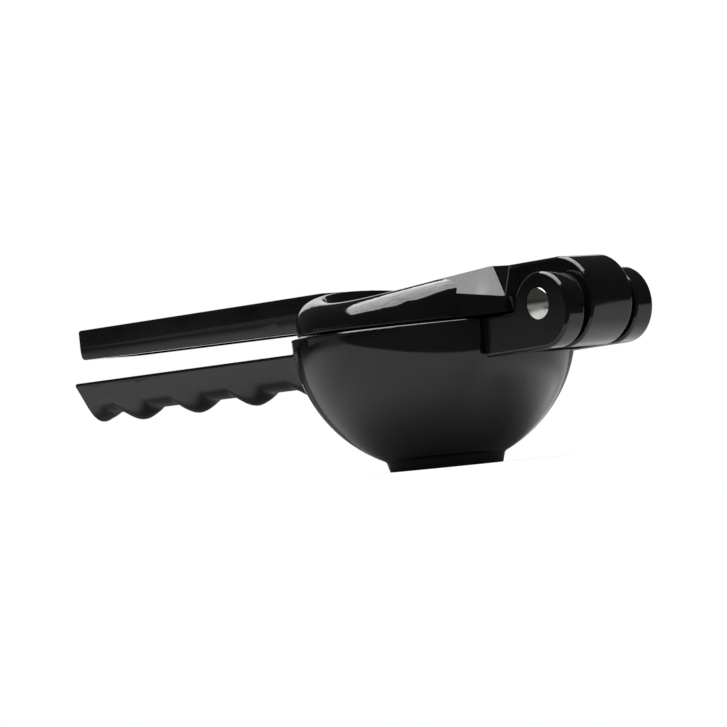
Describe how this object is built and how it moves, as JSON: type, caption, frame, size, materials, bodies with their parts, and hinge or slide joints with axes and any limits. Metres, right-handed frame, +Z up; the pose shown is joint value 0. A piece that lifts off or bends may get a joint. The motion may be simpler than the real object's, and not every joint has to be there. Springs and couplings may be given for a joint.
{
  "type": "citrus squeezer",
  "caption": "Hand citrus press: a round footed bowl with drain holes, a hollow press cup hinged on a steel pin, and long handles, the lower one ridged for the fingers.",
  "frame": {"origin": "centre of the flat underside of the foot", "axes": "+Z up, +X from the bowl to the hinge, +Y along the hinge pin; the handles run along -X"},
  "size_m": [0.2181, 0.076, 0.0505],
  "materials": {
    "black_enamel": "gloss black enamel over cast aluminium",
    "pin_steel": "bright turned steel",
    "bush_plastic": "natural acetal"
  },
  "bodies": {
    "lower": {"lower_body": "black_enamel", "hinge_pin": "pin_steel", "thrust_washers": "bush_plastic"},
    "upper": {"upper_body": "black_enamel", "hinge_bush": "bush_plastic"}
  },
  "joints": [
    {"name": "lever_hinge", "type": "hinge", "parent": "lower", "child": "upper", "pos_m": [0.0568, 0, 0.0389], "axis": [0, 1, 0], "range_deg": [0, 180]}
  ]
}
